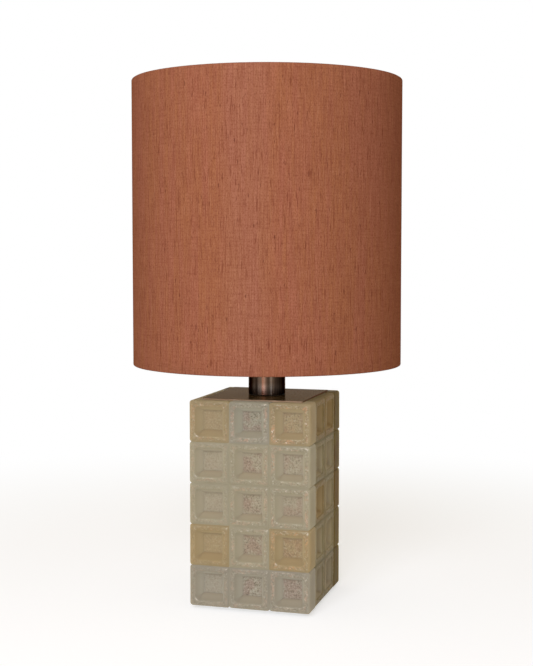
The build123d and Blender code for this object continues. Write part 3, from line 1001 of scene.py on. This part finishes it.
def castellated(angle, radius, height):
    """Notches for the fingers round the ring's outside."""
    step = FULL_TURN / RING_NOTCHES
    beside = abs((angle + step / 2) % step - step / 2) * ring_high.x
    sunk = limited((NOTCH_WIDTH / 2 + NOTCH_EASE / 2 - beside) / NOTCH_EASE)
    return radius - NOTCH_DEPTH * sunk * (radius - RING_BORE) / (ring_high.x - RING_BORE)


turned_piece(
    "castellated_ring",
    tube(RING_BORE, ring_high.x, ring_low.z, ring_high.z),
    HOLDER_PLASTIC,
    "retaining_ring",
    "retaining_ring",
    ease=0.7 * MM,
    steps=640,
    shaped=castellated,
)

shell_low, shell_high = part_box("screw_shell")
SHELL_OUTSIDE, SHELL_INSIDE, SHELL_SPACING = 13.62 * MM, 13.42 * MM, 0.45 * MM
SHELL_ROLL = 0.5 * MM
LAMP_PITCH = 3.63 * MM


def rolled_sheet(angle, radius, height):
    """The shell's thread is rolled, so both its faces follow it."""
    return radius + SHELL_ROLL * (0.5 + 0.5 * math.cos(FULL_TURN * height / LAMP_PITCH - angle))


turned_piece(
    "rolled_screw_shell",
    [
        *upright(SHELL_OUTSIDE, shell_low.z, shell_high.z, SHELL_SPACING),
        *upright(SHELL_INSIDE, shell_low.z, shell_high.z, SHELL_SPACING)[::-1],
    ],
    BRASS,
    "base",
    "screw_shell",
    ease=0.05 * MM,
    shaped=rolled_sheet,
)

# Bulb

cap_low, cap_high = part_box("bulb_cap")
turned_piece(
    "rolled_bulb_cap",
    [
        (0, cap_low.z),
        (9.5 * MM, cap_low.z),
        (12.0 * MM, cap_low.z + 1.6 * MM),
        *upright(cap_high.x, cap_low.z + 2.6 * MM, cap_high.z - 3.2 * MM, 0.4 * MM),
        (cap_high.x, cap_high.z),
        (0, cap_high.z),
    ],
    CAP_METAL,
    "bulb",
    "bulb_cap",
    ease=0.3 * MM,
    shaped=thread(
        low=cap_low.z + 1.7 * MM,
        high=cap_high.z - 4 * MM,
        pitch=LAMP_PITCH,
        depth=0.95 * MM,
        least=12.5 * MM,
    ),
)

contact_low, contact_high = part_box("bulb_contact")
turned_piece(
    "soldered_bulb_contact",
    [
        (0, contact_low.z),
        (2.6 * MM, contact_low.z),
        (4.1 * MM, contact_low.z + 0.35 * MM),
        (contact_high.x, contact_high.z),
        (0, contact_high.z),
    ],
    BRASS,
    "bulb",
    "bulb_contact",
    ease=0.4 * MM,
    steps=64,
)

vitrite_low, vitrite_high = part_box("bulb_insulator")
turned_piece(
    "vitrite_cone",
    [
        (0, vitrite_low.z),
        (5.4 * MM, vitrite_low.z),
        (vitrite_high.x, vitrite_high.z - 0.3 * MM),
        (vitrite_high.x, vitrite_high.z),
        (0, vitrite_high.z),
    ],
    VITRITE,
    "bulb",
    "bulb_insulator",
    ease=0.3 * MM,
    steps=96,
)

body_low, body_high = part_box("bulb_body")
COOLING_RIBS, RIB_DEPTH = 36, 0.4 * MM


def ribbed(angle, radius, height):
    """Shallow cooling ribs up the plastic body."""
    if radius < 14 * MM or height > body_high.z - 1.6 * MM:
        return radius
    return radius - RIB_DEPTH * (0.5 - 0.5 * math.cos(angle * COOLING_RIBS))


turned_piece(
    "ribbed_bulb_body",
    [
        (0, body_low.z),
        (14.4 * MM, body_low.z),
        (15.0 * MM, body_low.z + 1.2 * MM),
        (body_high.x - 0.2 * MM, body_low.z + 7 * MM),
        (body_high.x, body_high.z - 2.2 * MM),
        (body_high.x, body_high.z),
        (0, body_high.z),
    ],
    BULB_PLASTIC,
    "bulb",
    "bulb_body",
    ease=0.4 * MM,
    steps=288,
    shaped=ribbed,
)

globe_low, globe_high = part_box("bulb_globe")
DOME_HEIGHT = 17 * MM
DOME_STEPS = 16
dome = []
for step in range(1, DOME_STEPS + 1):
    angle = step / DOME_STEPS * math.pi / 2
    reach = globe_high.x * max(0.0, math.cos(angle)) ** 0.8 if step < DOME_STEPS else 0
    dome.append((reach, globe_high.z - DOME_HEIGHT + DOME_HEIGHT * math.sin(angle) ** 0.8))
turned_piece(
    "blown_opal_globe",
    [
        (0, globe_low.z),
        (globe_high.x - 0.5 * MM, globe_low.z),
        (globe_high.x, globe_low.z + 0.8 * MM),
        (globe_high.x, globe_high.z - DOME_HEIGHT),
        *dome,
    ],
    OPAL,
    "bulb",
    "bulb_globe",
    ease=0.2 * MM,
)

# Feet

feet_low, feet_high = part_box("feet")
FOOT_RADIUS = 7.5 * MM
TREAD_HOLLOW = 0.5 * MM


def rubber_feet():
    """Four round feet, each with a tread hollowed in the middle and a soft edge."""
    outline = [
        (0, feet_low.z + TREAD_HOLLOW),
        (4.4 * MM, feet_low.z + TREAD_HOLLOW),
        (4.9 * MM, feet_low.z),
        (6.8 * MM, feet_low.z),
        (FOOT_RADIUS, feet_low.z + 0.9 * MM),
        (FOOT_RADIUS - 0.3 * MM, feet_high.z),
        (0, feet_high.z),
    ]
    foot_points, foot_faces = turned(eased(outline, 0.3 * MM), 64)
    points, faces = [], []
    for across in (feet_low.x + FOOT_RADIUS, feet_high.x - FOOT_RADIUS):
        for back in (feet_low.y + FOOT_RADIUS, feet_high.y - FOOT_RADIUS):
            faces += counted_on(foot_faces, len(points))
            points += [(x + across, y + back, z) for x, y, z in foot_points]
    new_piece("moulded_feet", points, faces, [RUBBER], "base", "feet")


rubber_feet()

# Finishes of the pieces that stay as the model has them

CARRIED_OVER = {
    "core_box": ENAMEL,
    "base_plate": ZINC,
    "top_plate": PLATE_BRONZE,
    "tie_rod": ZINC,
    "base_nut": ZINC,
    "neck_nut": ZINC,
    "base_washer": ZINC,
    "neck_gasket": FIBRE,
    "holder_insert": CERAMIC,
    "centre_contact": BRASS,
    "terminal_screws": BRASS,
    "inlet_bush": RUBBER,
}
for node, finish in CARRIED_OVER.items():
    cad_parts[node].data.materials.clear()
    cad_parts[node].data.materials.append(finish)

# Studio

PHOTO_HEIGHT = 666
SENSOR = 36.0
FOCAL_PIXELS = 1268
CAMERA_DISTANCE = 1.409
CAMERA_HEIGHT = 0.392
CAMERA_AZIMUTH = math.radians(16.07)
CAMERA_YAW = math.radians(16.09)
CAMERA_PITCH = math.radians(3.81)
LAMP_MIDDLE = Vector((0, 0, 0.3))
ROOM_LEVEL = 0.41
ROOM_COLOUR = (1.0, 0.855, 0.63)
FLOOR_RADIUS = 3.0
FLOOR_COLUMNS = 64
FLOOR_DROP = 0.2 * MM
FLOOR_LIFT = 0.585


def set_camera():
    """The lens at the photo's distance, height and angles."""
    camera = bpy.data.cameras.new("studio_camera")
    camera.sensor_width = SENSOR
    camera.lens = SENSOR * FOCAL_PIXELS / PHOTO_HEIGHT
    camera.clip_start = 0.01
    stand = bpy.data.objects.new("studio_camera", camera)
    stand.location = (
        CAMERA_DISTANCE * math.sin(CAMERA_AZIMUTH),
        -CAMERA_DISTANCE * math.cos(CAMERA_AZIMUTH),
        CAMERA_HEIGHT,
    )
    aim = Matrix.Rotation(CAMERA_YAW, 3, "Z") @ Matrix.Rotation(math.pi / 2 - CAMERA_PITCH, 3, "X")
    stand.rotation_euler = aim.to_euler()
    bpy.context.scene.collection.objects.link(stand)
    bpy.context.scene.camera = stand


def softbox(name, azimuth, elevation, distance, size, power, colour):
    """A square light that looks at the lamp's middle from so many degrees round and up."""
    lamp = bpy.data.lights.new(name, "AREA")
    lamp.size = size
    lamp.energy = power
    lamp.color = colour
    around, up = math.radians(azimuth), math.radians(elevation)
    way = Vector((math.sin(around) * math.cos(up), -math.cos(around) * math.cos(up), math.sin(up)))
    holder = bpy.data.objects.new(name, lamp)
    holder.location = LAMP_MIDDLE + way * distance
    holder.rotation_euler = way.to_track_quat("Z", "Y").to_euler()
    bpy.context.scene.collection.objects.link(holder)


def white_to_lens(tree):
    """1 on rays that show a background: from the lens, from polished metal and through glass."""
    lens = tree.node("LightPath", output="Is Camera Ray")
    mirrored = lens.beside("Is Glossy Ray")
    through = lens.beside("Is Transmission Ray")
    return (lens + mirrored + through).clamped()


def set_world():
    """A plain warm room, white where a background shows."""
    world = bpy.data.worlds.new("studio_room")
    bpy.context.scene.world = world
    room = Finish(world)
    white = room.node("Background", sockets={"Color": (1, 1, 1), "Strength": 1.0})
    level = room.node("Background", sockets={"Color": ROOM_COLOUR, "Strength": ROOM_LEVEL})
    shown = room.node("MixShader", sockets={0: white_to_lens(room), 1: level, 2: white})
    room.node("OutputWorld", sockets={"Surface": shown})


def set_floor():
    """A round paper floor that keeps the lamp's shadow and turns white far out."""
    points = [(0, 0, 0)]
    for step in range(FLOOR_COLUMNS):
        angle = step / FLOOR_COLUMNS * FULL_TURN
        points.append((FLOOR_RADIUS * math.cos(angle), FLOOR_RADIUS * math.sin(angle), 0))
    faces = [(0, 1 + step, 1 + (step + 1) % FLOOR_COLUMNS) for step in range(FLOOR_COLUMNS)]
    mesh = bpy.data.meshes.new("studio_floor")
    mesh.from_pydata(points, [], faces)
    floor = bpy.data.objects.new("studio_floor", mesh)
    floor.location.z = -FLOOR_DROP
    bpy.context.scene.collection.objects.link(floor)
    paper = new_finish("pale_paper")
    x, y, z = paper.split(paper.place())
    far = paper.step(paper.math("SQRT", x * x + y * y), 0.3, 1.1)
    grain = paper.cloud(paper.place(), 300, 2.0)
    colour = paper.mix(grain, (0.6, 0.618, 0.65), (0.64, 0.658, 0.69))
    sheet = paper.node("BsdfDiffuse", sockets={"Color": colour})
    lift = paper.node("Emission", sockets={"Color": (1, 1, 1), "Strength": FLOOR_LIFT})
    near = paper.node("AddShader", sockets={0: sheet, 1: lift})
    white = paper.node("Emission", sockets={"Color": (1, 1, 1), "Strength": 1.0})
    seen = paper.node("MixShader", sockets={0: far, 1: near, 2: white})
    plain = paper.node("BsdfDiffuse", sockets={"Color": (0.8, 0.8, 0.8)})
    shown = paper.node("MixShader", sockets={0: white_to_lens(paper), 1: plain, 2: seen})
    paper.node("OutputMaterial", sockets={"Surface": shown})
    mesh.materials.append(paper.owner)


set_camera()
set_world()
set_floor()
softbox(
    "key_softbox",
    azimuth=2,
    elevation=24,
    distance=2.4,
    size=1.2,
    power=33.0,
    colour=(0.98, 1.014, 1.135),
)

view = bpy.context.scene.view_settings
view.view_transform = "Standard"
